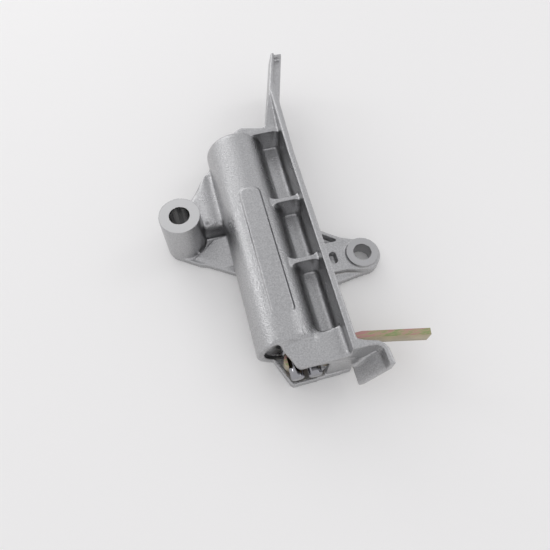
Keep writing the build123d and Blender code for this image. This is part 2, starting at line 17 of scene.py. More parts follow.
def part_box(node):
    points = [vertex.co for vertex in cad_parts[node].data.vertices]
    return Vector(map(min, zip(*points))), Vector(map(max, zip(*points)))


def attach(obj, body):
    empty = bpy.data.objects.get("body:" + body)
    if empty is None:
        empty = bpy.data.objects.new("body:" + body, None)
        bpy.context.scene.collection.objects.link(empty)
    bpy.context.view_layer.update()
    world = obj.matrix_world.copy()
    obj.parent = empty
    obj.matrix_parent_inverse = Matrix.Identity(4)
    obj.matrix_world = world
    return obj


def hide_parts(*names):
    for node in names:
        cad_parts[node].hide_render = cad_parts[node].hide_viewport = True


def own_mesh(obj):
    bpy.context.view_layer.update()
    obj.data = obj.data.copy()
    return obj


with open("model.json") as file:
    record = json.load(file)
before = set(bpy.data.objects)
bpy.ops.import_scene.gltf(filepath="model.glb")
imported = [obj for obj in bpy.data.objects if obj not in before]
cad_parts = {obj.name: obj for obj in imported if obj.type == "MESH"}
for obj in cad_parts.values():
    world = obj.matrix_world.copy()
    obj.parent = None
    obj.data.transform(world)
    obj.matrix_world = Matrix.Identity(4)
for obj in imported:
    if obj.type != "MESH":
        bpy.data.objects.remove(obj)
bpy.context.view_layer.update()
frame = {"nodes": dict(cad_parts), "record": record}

MM = 0.001
record = frame["record"]
SLOT_OF = {part["node"]: part["material_slot"] for part in record["subparts"]}
BODY_OF = {node: body for body, nodes in record["behaviour"]["bodies"].items() for node in nodes}


# %% [markdown]
# ## Helpers for materials
# Colours are easiest to choose as the hex values that a paint program shows, but the renderer works
# in linear light, so one function converts them. A second one adds a node and fills in its inputs in
# one call, which keeps each recipe short enough to read at a glance. An input that is given another
# node's socket is linked to it, and one that is given a value is set.

# %% Colour helper


def linear(hex_colour):
    """Linear RGBA from an sRGB hex colour."""
    channels = [int(hex_colour[i:i + 2], 16) / 255 for i in (1, 3, 5)]
    return tuple(c / 12.92 if c <= 0.04045 else ((c + 0.055) / 1.055) ** 2.4 for c in channels) + (1.0,)


print("middle grey in linear light:", [round(c, 3) for c in linear("#808080")])

# %% Node helpers
# A Mix node has its ends and its result once for each kind of data, and they are told apart by place.
NUMBER_A = 2
NUMBER_B = 3
COLOUR_A = 6
COLOUR_B = 7
COLOUR_RESULT = 2
NUMBERS = {"data_type": "FLOAT"}
COLOURS = {"data_type": "RGBA"}


def add(tree, kind, settings=None, by_place=None, **by_name):
    """Adds a node. Settings are its properties. Its inputs are given by place or name, as socket or value."""
    node = tree.nodes.new(kind)
    for key, value in (settings or {}).items():
        setattr(node, key, value)
    wanted = dict(by_place or {})
    wanted.update({name.replace("_", " "): value for name, value in by_name.items()})
    for key, value in wanted.items():
        if isinstance(value, bpy.types.NodeSocket):
            tree.links.new(value, node.inputs[key])
        else:
            node.inputs[key].default_value = value
    return node


def new_material(name):
    """An empty node material, its tree, and its Principled shader joined to the output."""
    material = bpy.data.materials.new(name)
    material.use_nodes = True
    tree = material.node_tree
    tree.nodes.clear()
    shader = add(tree, "ShaderNodeBsdfPrincipled")
    add(tree, "ShaderNodeOutputMaterial", Surface=shader.outputs["BSDF"])
    return material, tree, shader


def in_millimetres(tree):
    """Object coordinates counted in millimetres."""
    here = add(tree, "ShaderNodeTexCoord").outputs["Object"]
    scaled = add(tree, "ShaderNodeVectorMath", {"operation": "SCALE"}, {0: here}, Scale=1 / MM)
    return scaled.outputs["Vector"]


print("helpers ready: add, new_material and in_millimetres")

# %% [markdown]
# ## Blasted die-cast aluminium
# The housing is pressure-die-cast aluminium, shot blasted after casting. Blasting leaves shallow dents
# well under a millimetre across, so the metal glitters where a lamp's reflection ends instead of
# showing a clean mirror. A picture texture would need unwrapping; noise that reads Object coordinates
# needs none and has a true size. The dents and the finer pits will bend the normal, the dents also
# make the grey a little uneven, and wide patches change how rough the metal is.

# %% Grain of the blasted casting
DENT_MM = 0.62
PIT_MM = 0.3
PATCH_MM = 9.0
# The grey runs from dark to light between these two values of the dents' noise.
SPECKLE_LOW = 0.3
SPECKLE_HIGH = 0.7
CAST_DARK = "#a9a9aa"
CAST_LIGHT = "#bfbfc0"
CAST_ROUGH_LOW = 0.25
CAST_ROUGH_HIGH = 0.32

cast_aluminium, cast_tree, cast_shader = new_material("cast_aluminium_blasted")
mm = in_millimetres(cast_tree)
dents = add(cast_tree, "ShaderNodeTexNoise", Vector=mm, Scale=1 / DENT_MM, Detail=1.0)
pits = add(cast_tree, "ShaderNodeTexNoise", Vector=mm, Scale=1 / PIT_MM, Detail=1.0)
patches = add(cast_tree, "ShaderNodeTexNoise", Vector=mm, Scale=1 / PATCH_MM, Detail=2.0)
speckle = add(cast_tree, "ShaderNodeMapRange", Value=dents.outputs[0],
              From_Min=SPECKLE_LOW, From_Max=SPECKLE_HIGH)
cast_grey = add(cast_tree, "ShaderNodeMix", COLOURS,
                {"Factor": speckle.outputs[0], COLOUR_A: linear(CAST_DARK), COLOUR_B: linear(CAST_LIGHT)})
cast_rough = add(cast_tree, "ShaderNodeMix", NUMBERS,
                 {"Factor": patches.outputs[0], NUMBER_A: CAST_ROUGH_LOW, NUMBER_B: CAST_ROUGH_HIGH})
print("grain: dents of", DENT_MM, "mm, pits of", PIT_MM, "mm, patches of", PATCH_MM, "mm")

# %% [markdown]
# ## Where a cutter has passed
# The pillar's top, the lug's ring and both bolt holes are machined after casting, and there the same
# metal is brighter and even. A second material would need faces of its own, and the skin that is made
# further down is one even net that knows nothing of them. But the places are known, because the
# frame's record gives both holes, so masks that read the coordinates pick them out.

# %% Places of the bolt holes
mounts = {mount["name"]: mount for mount in record["mounts"]}


def bolt_hole(name):
    """Centre, radius and upper end of a bolt hole that starts at the foot, in millimetres."""
    mount = mounts[name]
    x, y, foot = mount["pos_m"]
    return (x / MM, y / MM), mount["dims"]["r_mm"], foot / MM + mount["dims"]["length_mm"]


PILLAR_CENTRE, PILLAR_HOLE_R, PILLAR_TOP = bolt_hole("pillar_bore")
LUG_CENTRE, LUG_HOLE_R, LUG_TOP = bolt_hole("lug_bore")
print("pillar's hole: radius", PILLAR_HOLE_R, "mm, top at", PILLAR_TOP, "mm")
print("lug's hole: radius", LUG_HOLE_R, "mm, top at", LUG_TOP, "mm")

# %% Masks for the machined places
# In millimetres: the faces' radii inside their rims, how far a face's mask reaches down into the metal
# and a hole's mask sideways into its wall, and how far the masks run past the ends.
PILLAR_FACE_R = 9.05
LUG_FACE_R = 7.4
FACE_DEPTH = 0.25
HOLE_WALL = 0.15
BEYOND = 1.0


def disc_mask(tree, coords, centre, radius, z_low, z_high):
    """1 inside an upright disc of space, 0 outside, from Object coordinates in millimetres."""
    level = add(tree, "ShaderNodeVectorMath", {"operation": "MULTIPLY"}, {0: coords, 1: (1, 1, 0)})
    away = add(tree, "ShaderNodeVectorMath", {"operation": "DISTANCE"},
               {0: level.outputs["Vector"], 1: (centre[0], centre[1], 0)})
    near = add(tree, "ShaderNodeMath", {"operation": "LESS_THAN"}, {0: away.outputs["Value"], 1: radius})
    split = add(tree, "ShaderNodeSeparateXYZ", Vector=coords)
    above = add(tree, "ShaderNodeMath", {"operation": "GREATER_THAN"}, {0: split.outputs["Z"], 1: z_low})
    below = add(tree, "ShaderNodeMath", {"operation": "LESS_THAN"}, {0: split.outputs["Z"], 1: z_high})
    both = add(tree, "ShaderNodeMath", {"operation": "MULTIPLY"}, {0: near.outputs[0], 1: above.outputs[0]})
    inside = add(tree, "ShaderNodeMath", {"operation": "MULTIPLY"}, {0: both.outputs[0], 1: below.outputs[0]})
    return inside.outputs[0]


def larger(tree, *sockets):
    """The largest of several masks."""
    result = sockets[0]
    for socket in sockets[1:]:
        result = add(tree, "ShaderNodeMath", {"operation": "MAXIMUM"}, {0: result, 1: socket}).outputs[0]
    return result


pillar_face = disc_mask(cast_tree, mm, PILLAR_CENTRE, PILLAR_FACE_R,
                        PILLAR_TOP - FACE_DEPTH, PILLAR_TOP + BEYOND)
lug_face = disc_mask(cast_tree, mm, LUG_CENTRE, LUG_FACE_R,
                     LUG_TOP - FACE_DEPTH, LUG_TOP + BEYOND)
pillar_hole = disc_mask(cast_tree, mm, PILLAR_CENTRE, PILLAR_HOLE_R + HOLE_WALL,
                        -BEYOND, PILLAR_TOP + BEYOND)
lug_hole = disc_mask(cast_tree, mm, LUG_CENTRE, LUG_HOLE_R + HOLE_WALL,
                     -BEYOND, LUG_TOP + BEYOND)
machined = larger(cast_tree, pillar_face, lug_face, pillar_hole, lug_hole)
print("masks for 2 faces and 2 holes, the aluminium's tree has", len(cast_tree.nodes), "nodes")

# %% [markdown]
# ## The marks of the reamer, and painted reflections in the hole
# The tall hole was finished with a reamer, which leaves long marks along it. They could be modelled
# as grooves, but grooves that fine need a far finer net than the skin has. A noise that hardly changes
# along the hole, and changes fast round it, gives stripes instead. As a bump they stand for the marks.
# As light and dark bands in a near-white colour they are painted reflections, which also brighten the
# hole. Real marks are too fine to show at the picture's size, so these are drawn 1.4 mm wide.

# %% Stripes in the pillar's hole
REAM_MM = 1.4
REAM_STRETCH = 0.03
# A narrow range of the noise goes from dark to light, so that the painted reflection stripes have clear
# edges.
SHEEN_STRIPE_LOW = 0.44
SHEEN_STRIPE_HIGH = 0.56
# Painted reflections: the hole's colour in its dark and its light bands.
HOLE_SHEEN_DARK = "#dededf"
HOLE_SHEEN_LIGHT = "#fafafa"

along_hole = add(cast_tree, "ShaderNodeVectorMath", {"operation": "MULTIPLY"},
                 {0: mm, 1: (1, 1, REAM_STRETCH)})
reamer_marks_and_sheen = add(cast_tree, "ShaderNodeTexNoise", Vector=along_hole.outputs[0], Scale=1 / REAM_MM, Detail=1.0)
stripes = add(cast_tree, "ShaderNodeMapRange", Value=reamer_marks_and_sheen.outputs[0],
              From_Min=SHEEN_STRIPE_LOW, From_Max=SHEEN_STRIPE_HIGH)
# The hole's colour, painted in light and dark bands of reflection.
hole_painted_sheen = add(cast_tree, "ShaderNodeMix", COLOURS,
                {"Factor": stripes.outputs[0], COLOUR_A: linear(HOLE_SHEEN_DARK), COLOUR_B: linear(HOLE_SHEEN_LIGHT)})
print("reamed stripes:", REAM_MM, "mm wide and", round(REAM_MM / REAM_STRETCH), "mm long")

# %% [markdown]
# ## One metal from the cast and the cut
# The masks now choose between the finishes, for the colour, the roughness and the height alike. The
# height goes through two Bump nodes, dents first and pits on top of them. A level height stands for
# a face without grain, so the cut faces come out smooth.

# %% Colour, roughness and bump of the aluminium
PILLAR_GREY = "#cecece"
LUG_GREY = "#b6b6b7"
CUT_ROUGH = 0.38
REAMED_ROUGH = 0.12
LEVEL = 0.5
DENT_DEPTH_MM = 0.15
PIT_DEPTH_MM = 0.04

face_grey = add(cast_tree, "ShaderNodeMix", COLOURS,
                {"Factor": pillar_face, COLOUR_A: linear(LUG_GREY), COLOUR_B: linear(PILLAR_GREY)})
# In the pillar's hole the colour takes the painted reflection bands.
cut_grey_and_hole_sheen = add(cast_tree, "ShaderNodeMix", COLOURS,
               {"Factor": pillar_hole, COLOUR_A: face_grey.outputs[COLOUR_RESULT],
                COLOUR_B: hole_painted_sheen.outputs[COLOUR_RESULT]})
grey = add(cast_tree, "ShaderNodeMix", COLOURS,
           {"Factor": machined, COLOUR_A: cast_grey.outputs[COLOUR_RESULT],
            COLOUR_B: cut_grey_and_hole_sheen.outputs[COLOUR_RESULT]})
cut_rough = add(cast_tree, "ShaderNodeMix", NUMBERS,
                {"Factor": pillar_hole, NUMBER_A: CUT_ROUGH, NUMBER_B: REAMED_ROUGH})
rough = add(cast_tree, "ShaderNodeMix", NUMBERS,
            {"Factor": machined, NUMBER_A: cast_rough.outputs[0], NUMBER_B: cut_rough.outputs[0]})
cut_height = add(cast_tree, "ShaderNodeMix", NUMBERS,
                 {"Factor": pillar_hole, NUMBER_A: LEVEL, NUMBER_B: reamer_marks_and_sheen.outputs[0]})
dented = add(cast_tree, "ShaderNodeMix", NUMBERS,
             {"Factor": machined, NUMBER_A: dents.outputs[0], NUMBER_B: cut_height.outputs[0]})
pitted = add(cast_tree, "ShaderNodeMix", NUMBERS,
             {"Factor": machined, NUMBER_A: pits.outputs[0], NUMBER_B: LEVEL})
broad = add(cast_tree, "ShaderNodeBump", Height=dented.outputs[0], Strength=1.0, Distance=DENT_DEPTH_MM * MM)
fine = add(cast_tree, "ShaderNodeBump", Height=pitted.outputs[0], Normal=broad.outputs["Normal"],
           Strength=1.0, Distance=PIT_DEPTH_MM * MM)
cast_tree.links.new(grey.outputs[COLOUR_RESULT], cast_shader.inputs["Base Color"])
cast_tree.links.new(rough.outputs[0], cast_shader.inputs["Roughness"])
cast_tree.links.new(fine.outputs["Normal"], cast_shader.inputs["Normal"])
cast_shader.inputs["Metallic"].default_value = 1.0
print("cast aluminium made with", len(cast_tree.nodes), "nodes")

# %% [markdown]
# ## Yellow passivated zinc on steel
# The lever is stamped from steel strip, zinc plated, then dipped in a bath that leaves a thin golden
# film. The film's thickness changes from place to place, so thin-film colours, pink to green, float
# over the gold. A thin-film shader gives physically right bands but they are hard to steer. Mixing a
# few tints with noise puts the colours where they belong: broken up on the blanked edges, calm and
# tan on the rolled flat sides. Which of the two a spot is comes from the normal, in object space, so
# the pattern stays put when the lever swings.

# %% Tell the strip's edges from its sides
# The upright share of the normal at which the edge's finish starts, and at which it is complete.
EDGE_FROM = 0.6
EDGE_TO = 0.9

zinc, zinc_tree, zinc_shader = new_material("yellow_passivated_zinc")
mm = in_millimetres(zinc_tree)
facing = add(zinc_tree, "ShaderNodeTexCoord")
split = add(zinc_tree, "ShaderNodeSeparateXYZ", Vector=facing.outputs["Normal"])
upright = add(zinc_tree, "ShaderNodeMath", {"operation": "ABSOLUTE"}, {0: split.outputs["Z"]})
on_edge = add(zinc_tree, "ShaderNodeMapRange", Value=upright.outputs[0], From_Min=EDGE_FROM, From_Max=EDGE_TO)
print("an edge starts where the normal's upright share passes", EDGE_FROM)

# %% Film colours
FILM_MM = 1.6
CALM_MM = 7.0
ALONG_STRIP = 0.15
# Each tint by its place on the ramp, where the noise is mostly between 0.35 and 0.65.
FILM_TINTS = {0.4: "#b58b88", 0.5: "#aea086", 0.6: "#8a9a6c"}
CALM_TINTS = {0.35: "#aea289", 0.65: "#b9ad90"}


def fill_ramp(ramp, tints):
    """Gives a Color Ramp node its stops, from their places and hex colours in rising order."""
    stops = ramp.color_ramp.elements
    while len(stops) < len(tints):
        stops.new(0.5)
    for stop, (place, tint) in zip(stops, tints.items()):
        stop.position = place
        stop.color = linear(tint)


drawn_out = add(zinc_tree, "ShaderNodeVectorMath", {"operation": "MULTIPLY"}, {0: mm, 1: (ALONG_STRIP, 1, 1)})
film = add(zinc_tree, "ShaderNodeTexNoise", Vector=drawn_out.outputs[0], Scale=1 / FILM_MM,
           Detail=4.0, Roughness=0.7)
film_ramp = add(zinc_tree, "ShaderNodeValToRGB", Fac=film.outputs[0])
fill_ramp(film_ramp, FILM_TINTS)
calm = add(zinc_tree, "ShaderNodeTexNoise", Vector=mm, Scale=1 / CALM_MM, Detail=2.0)
calm_ramp = add(zinc_tree, "ShaderNodeValToRGB", Fac=calm.outputs[0])
fill_ramp(calm_ramp, CALM_TINTS)
tint = add(zinc_tree, "ShaderNodeMix", COLOURS,
           {"Factor": on_edge.outputs["Result"], COLOUR_A: calm_ramp.outputs["Color"],
            COLOUR_B: film_ramp.outputs["Color"]})
zinc_tree.links.new(tint.outputs[COLOUR_RESULT], zinc_shader.inputs["Base Color"])
print("film patches of", FILM_MM, "mm on the edges and", CALM_MM, "mm on the sides")

# %% [markdown]
# ## The strip's sheared and rolled surfaces
# A blanking press shears the strip's edges, which stay matt and grainy under the plating, while its
# sides are as smooth as the rolls left them. The same mask tells them apart, and a noise half a
# millimetre wide gives the grain.

# %% Roughness and bump of the zinc
GRAIN_MM = 0.5
GRAIN_DEPTH_MM = 0.1
GRAIN_STRENGTH = 0.6
SIDE_ROUGH = 0.34
EDGE_ROUGH = 0.5

grain = add(zinc_tree, "ShaderNodeTexNoise", Vector=mm, Scale=1 / GRAIN_MM, Detail=2.0)
rough = add(zinc_tree, "ShaderNodeMix", NUMBERS,
            {"Factor": on_edge.outputs["Result"], NUMBER_A: SIDE_ROUGH, NUMBER_B: EDGE_ROUGH})
sheared = add(zinc_tree, "ShaderNodeMix", NUMBERS,
              {"Factor": on_edge.outputs["Result"], NUMBER_A: LEVEL, NUMBER_B: grain.outputs[0]})
bump = add(zinc_tree, "ShaderNodeBump", Height=sheared.outputs[0], Strength=GRAIN_STRENGTH,
           Distance=GRAIN_DEPTH_MM * MM)
zinc_tree.links.new(rough.outputs[0], zinc_shader.inputs["Roughness"])
zinc_tree.links.new(bump.outputs["Normal"], zinc_shader.inputs["Normal"])
zinc_shader.inputs["Metallic"].default_value = 1.0
print("zinc made with", len(zinc_tree.nodes), "nodes, grain of", GRAIN_MM, "mm")

# %% [markdown]
# ## The plain metals, rubber and plastic
# The remaining pieces are small or hidden, and each has one simple finish. What tells them apart is
# how rough they are and how dark. A ground pin mirrors the room, a turned part is satin, an oiled
# spring is dark, sintered bronze is warm and dull. One recipe with different numbers serves for all
# of them, with a little noise in the roughness because no real surface is perfectly even.

# %% Simple finishes
FINISHES = {
    # slot: (name, hex, metallic, roughness low, roughness high, pattern mm)
    "polished_steel": ("ground_and_polished_steel", "#9e9ea2", 1.0, 0.06, 0.12, 3.0),
    "steel": ("turned_steel", "#9c9c9e", 1.0, 0.28, 0.4, 1.0),
    "spring_steel": ("oiled_spring_steel", "#5c5c60", 1.0, 0.3, 0.45, 2.0),
    "bronze": ("sintered_bronze", "#a67c4e", 1.0, 0.4, 0.55, 0.6),
    "rubber": ("moulded_nitrile_rubber", "#1c1c1d", 0.0, 0.55, 0.7, 1.5),
    "polymer": ("filled_sliding_polymer", "#3b332c", 0.0, 0.42, 0.5, 1.5),
}
MATERIALS = {"cast_aluminium": cast_aluminium, "zinc_steel": zinc}
for slot, (name, colour, metallic, rough_low, rough_high, pattern_mm) in FINISHES.items():
    material, tree, shader = new_material(name)
    shader.inputs["Base Color"].default_value = linear(colour)
    shader.inputs["Metallic"].default_value = metallic
    noise = add(tree, "ShaderNodeTexNoise", Vector=in_millimetres(tree), Scale=1 / pattern_mm, Detail=2.0)
    rough = add(tree, "ShaderNodeMix", NUMBERS,
                {"Factor": noise.outputs[0], NUMBER_A: rough_low, NUMBER_B: rough_high})
    tree.links.new(rough.outputs[0], shader.inputs["Roughness"])
    MATERIALS[slot] = material
for node, ob in frame["nodes"].items():
    ob.data.materials.clear()
    ob.data.materials.append(MATERIALS[SLOT_OF[node]])
print("finishes:", sorted(MATERIALS))

# %% [markdown]
# ## Copies of the solids
# A CAD node is never changed, so a new surface starts from a copy of it. A CAD mesh is loose
# triangles, and most modifiers need them joined, so each copy first gets a Weld modifier. At the end
# everything that the modifiers make is turned into a plain mesh.

# %% Copy a node and bake a result
WELD_MM = 0.001


def plain_copy(node, name):
    """A copy of a CAD node with its loose triangles welded."""
    mesh = frame["nodes"][node].data.copy()
    mesh.name = name
    ob = bpy.data.objects.new(name, mesh)
    bpy.context.scene.collection.objects.link(ob)
    weld = ob.modifiers.new("weld", "WELD")
    weld.merge_threshold = WELD_MM * MM
    return ob


def baked(ob, name):
    """Turns what the modifiers make of an object into a plain mesh object, and removes the first one."""
    depsgraph = bpy.context.evaluated_depsgraph_get()
    mesh = bpy.data.meshes.new_from_object(ob.evaluated_get(depsgraph), depsgraph=depsgraph)
    mesh.name = name
    bpy.data.objects.remove(ob)
    result = bpy.data.objects.new(name, mesh)
    bpy.context.scene.collection.objects.link(result)
    return result


print("copies are welded within", WELD_MM, "mm")

# %% [markdown]
# ## Trees for Geometry Nodes
# A Geometry Nodes tree is like a small tool with dials. Each named input is a dial, and the modifier
# that uses the tree can turn it. The modifier knows its inputs by an identifier and not by the name
# that we read, so a small function looks the identifier up.

# %% Node group helpers


def node_group(name, inputs):
    """A Geometry Nodes tree with geometry in and out, and other inputs given as kind and first value."""
    group = bpy.data.node_groups.new(name, "GeometryNodeTree")
    face = group.interface
    face.new_socket("Geometry", in_out="INPUT", socket_type="NodeSocketGeometry")
    for label, (kind, value) in inputs.items():
        face.new_socket(label, in_out="INPUT", socket_type=kind).default_value = value
    face.new_socket("Geometry", in_out="OUTPUT", socket_type="NodeSocketGeometry")
    start = add(group, "NodeGroupInput")
    end = add(group, "NodeGroupOutput")
    return group, start.outputs, end.inputs["Geometry"]


def set_input(modifier, label, value):
    """Sets a tree's input on its modifier by the socket's identifier."""
    for item in modifier.node_group.interface.items_tree:
        if item.name == label and item.in_out == "INPUT":
            modifier[item.identifier] = value


print("helpers ready: node_group and set_input")

# %% [markdown]
# ## A tree that relaxes the casting
# Molten metal never fills a razor-sharp corner, and blasting rounds what is left, so every edge of a
# real casting catches a thin line of light. The Bevel modifier could round them, but on a body joined
# from many shapes it tears where short edges meet. A tree that averages each point with its
# neighbours rounds everything alike. A cutter leaves a sharp edge, so the points that lie in the
# planes of the pillar's top, the lug's ring and the mounting face are left where they are. In three
# places, the ear, the shoulder and the hook, the metal flows in wide soft curves, so more passes act
# there and fade out with distance.

# %% The relaxing tree's inputs
RELAX_PASSES = 6
SOFT_PASSES = 70
CUT_LEVELS = {"Foot": 0.0, "Lug Ring": LUG_TOP, "Pillar Top": PILLAR_TOP}
SOFT_PLACES = {
    # name: (middle in mm, reach in mm)
    "Ear": ((11.5, 12.0, 15.0), 16.0),
    "Shoulder": ((38.5, -68.5, 24.0), 13.0),
    "Hook": ((64.0, -78.5, 9.0), 8.0),
}

relax_inputs = {"Passes": ("NodeSocketInt", RELAX_PASSES), "Soft Passes": ("NodeSocketInt", SOFT_PASSES)}
for label, level in CUT_LEVELS.items():
    relax_inputs[label] = ("NodeSocketFloat", level * MM)
for label, (middle, reach) in SOFT_PLACES.items():
    relax_inputs[label + " Middle"] = ("NodeSocketVector", [q * MM for q in middle])
    relax_inputs[label + " Reach"] = ("NodeSocketFloat", reach * MM)
relax, given, out = node_group("relax_casting", relax_inputs)
print("relaxing tree's inputs:", list(relax_inputs))

# %% Points that a cutter has made flat
PLANE_WITHIN_MM = 0.02

place = add(relax, "GeometryNodeInputPosition").outputs[0]
height = add(relax, "ShaderNodeSeparateXYZ", Vector=place).outputs["Z"]
in_plane = []
for label in CUT_LEVELS:
    near = add(relax, "FunctionNodeCompare", {"data_type": "FLOAT", "operation": "EQUAL"},
               {0: height, 1: given[label]}, Epsilon=PLANE_WITHIN_MM * MM)
    in_plane.append(near.outputs[0])
first_two = add(relax, "FunctionNodeBooleanMath", {"operation": "OR"}, {0: in_plane[0], 1: in_plane[1]})
flat = add(relax, "FunctionNodeBooleanMath", {"operation": "OR"}, {0: first_two.outputs[0], 1: in_plane[2]})
free = add(relax, "FunctionNodeBooleanMath", {"operation": "NOT"}, {0: flat.outputs[0]}).outputs[0]
print("points kept flat within", PLANE_WITHIN_MM, "mm of", len(in_plane), "levels")

# %% Relax everywhere, then in the soft places
even = add(relax, "GeometryNodeBlurAttribute", {"data_type": "FLOAT_VECTOR"},
           Value=place, Iterations=given["Passes"])
moved = add(relax, "GeometryNodeSetPosition", Geometry=given["Geometry"], Selection=free,
            Position=even.outputs[0])
fades = []
for label in SOFT_PLACES:
    away = add(relax, "ShaderNodeVectorMath", {"operation": "DISTANCE"},
               {0: place, 1: given[label + " Middle"]})
    fade = add(relax, "ShaderNodeMapRange", Value=away.outputs["Value"], From_Max=given[label + " Reach"],
               To_Min=1.0, To_Max=0.0)
    fades.append(fade.outputs["Result"])
softer_still = add(relax, "GeometryNodeBlurAttribute", {"data_type": "FLOAT_VECTOR"},
                   Value=place, Iterations=given["Soft Passes"], Weight=larger(relax, *fades))
flowed = add(relax, "GeometryNodeSetPosition", Geometry=moved.outputs[0], Selection=free,
             Position=softer_still.outputs[0])
smooth = add(relax, "GeometryNodeSetShadeSmooth", None, {0: flowed.outputs[0]})
painted = add(relax, "GeometryNodeSetMaterial", Geometry=smooth.outputs[0], Material=cast_aluminium)
real = add(relax, "GeometryNodeRealizeInstances", Geometry=painted.outputs[0])
relax.links.new(real.outputs[0], out)
print("relaxing tree made with", len(relax.nodes), "nodes and", len(fades), "soft places")

# %% [markdown]
# ## The casting's skin
# The tree needs an even net to work on, and the solid has long thin triangles on its flats. The
# Remesh modifier rebuilds the copy from small cubes, which welds everything into one net with the
# same spacing everywhere, and the tree then relaxes it. The rims of the cut faces are marked as
# sharp, so that a face is shaded flat right up to its rim.

# %% Remesh and relax a copy of the housing
VOXEL_MM = 0.33

skin = plain_copy("housing", "housing_skin")
cubes = skin.modifiers.new("remesh", "REMESH")
cubes.mode = "VOXEL"
cubes.voxel_size = VOXEL_MM * MM
cubes.use_smooth_shade = True
softer = skin.modifiers.new("relax", "NODES")
softer.node_group = relax
dense = baked(skin, "housing_dense")
print("dense skin:", len(dense.data.vertices), "points")

# %% Mark the rims of the cut faces
LEVEL_WITHIN_MM = 0.01
LEVEL_NORMAL = 0.999


def mark_cut_rims(mesh, levels):
    """Marks the rims of the cut faces as sharp and counts them."""
    used = {}
    for face in mesh.polygons:
        in_level = any(abs(face.center.z - level) < LEVEL_WITHIN_MM * MM for level in levels)
        if in_level and abs(face.normal.z) > LEVEL_NORMAL:
            for loop in face.loop_indices:
                edge = mesh.loops[loop].edge_index
                used[edge] = used.get(edge, 0) + 1
    rims = [edge for edge, times in used.items() if times == 1]
    for edge in rims:
        mesh.edges[edge].use_edge_sharp = True
    return len(rims)


rim_edges = mark_cut_rims(dense.data, [level * MM for level in CUT_LEVELS.values()])
print("rims of the cut faces:", rim_edges, "edges")

# %% [markdown]
# ## A lighter net with the same shading
# The dense net is far heavier than the picture needs. The Decimate modifier thins it, and the Data
# Transfer modifier hands the dense net's normals to the thin one, so it is shaded as smoothly as
# before.

# %% Thin the skin and carry its normals over
KEPT_TRIANGLES = 190000


def triangles(mesh):
    """How many triangles a mesh's faces come to."""
    return sum(len(face.vertices) - 2 for face in mesh.polygons)


before = triangles(dense.data)
housing_cast = bpy.data.objects.new("housing_cast", dense.data.copy())
bpy.context.scene.collection.objects.link(housing_cast)
thin = housing_cast.modifiers.new("thin", "DECIMATE")
thin.ratio = min(1.0, KEPT_TRIANGLES / before)
carry = housing_cast.modifiers.new("carry", "DATA_TRANSFER")
carry.object = dense
carry.use_loop_data = True
carry.data_types_loops = {"CUSTOM_NORMAL"}
carry.loop_mapping = "NEAREST_POLYNOR"
housing_cast = baked(housing_cast, "housing_cast")
bpy.data.objects.remove(dense)
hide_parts("housing")
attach(housing_cast, BODY_OF["housing"])
print("casting:", before, "triangles before thinning,", triangles(housing_cast.data), "after")

# %% [markdown]
# ## Broken edges on the steel pieces
# A stamped or turned steel piece has its sharp edges broken by tumbling. The Bevel modifier is right
# here, because these shapes are simple. Flat faces are first made one face each, and the bevel then
# acts only where two faces meet at a steep angle, so the facets of a round pin are left alone.

# %% Bevel the lever and the pins
BROKEN_EDGES = {"lever": 0.3, "head_pin_outer": 0.12, "head_pin_inner": 0.12, "plunger_rod": 0.3}
BEVEL_SEGMENTS = 2
FLAT_WITHIN = math.radians(1.0)
BEVEL_OVER = math.radians(40)
SHARP_OVER = math.radians(32)

for node, width in BROKEN_EDGES.items():
    ob = plain_copy(node, node + "_finished")
    one_face = ob.modifiers.new("flat", "DECIMATE")
    one_face.decimate_type = "DISSOLVE"
    one_face.angle_limit = FLAT_WITHIN
    bevel = ob.modifiers.new("bevel", "BEVEL")
    bevel.width = width * MM
    bevel.segments = BEVEL_SEGMENTS
    bevel.limit_method = "ANGLE"
    bevel.angle_limit = BEVEL_OVER
    ob = baked(ob, node + "_finished")
    ob.data.materials.clear()
    ob.data.materials.append(MATERIALS[SLOT_OF[node]])
    ob.data.shade_smooth()
    ob.data.set_sharp_from_angle(angle=SHARP_OVER)
    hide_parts(node)
    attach(ob, BODY_OF[node])
    print(node, len(ob.data.polygons), "faces")

# %% [markdown]
# ## The coil spring
# The spring is wire wound on a mandrel, its end coils wound closer than the rest. A spiral is the
# textbook case of a shape that follows a rule, so a Geometry Nodes tree makes it. A straight line of
# points is bent round by a little arithmetic. The share of the way along the line gives each point its
# angle, and its height too, blended with a curve that rises slower at both ends.

# %% Bend a line of points into a coil
COIL_RADIUS = 6.0 * MM
COIL_WIRE = 2.2 * MM
COIL_TURNS = 10.0
COIL_POINTS = 420
# The share of the eased curve in each point's height. More of it brings the end coils closer together.
CLOSER_ENDS = 0.35
spring_low, spring_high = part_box("main_spring")
TUBE_X = (spring_low.x + spring_high.x) / 2
TUBE_Z = (spring_low.z + spring_high.z) / 2

wind, given, out = node_group("wind_spring", {
    "Radius": ("NodeSocketFloat", COIL_RADIUS),
    "Wire": ("NodeSocketFloat", COIL_WIRE),
    "Turns": ("NodeSocketFloat", COIL_TURNS),
    "Start": ("NodeSocketFloat", 0.0),
    "Length": ("NodeSocketFloat", 0.0),
})
line = add(wind, "GeometryNodeCurvePrimitiveLine")
many = add(wind, "GeometryNodeResampleCurve", Curve=line.outputs[0], Count=COIL_POINTS)
along = add(wind, "GeometryNodeSplineParameter").outputs["Factor"]
turn = add(wind, "ShaderNodeMath", {"operation": "MULTIPLY"}, {0: along, 1: given["Turns"]})
angle = add(wind, "ShaderNodeMath", {"operation": "MULTIPLY"}, {0: turn.outputs[0], 1: 2 * math.pi})
cosine = add(wind, "ShaderNodeMath", {"operation": "COSINE"}, {0: angle.outputs[0]})
sine = add(wind, "ShaderNodeMath", {"operation": "SINE"}, {0: angle.outputs[0]})
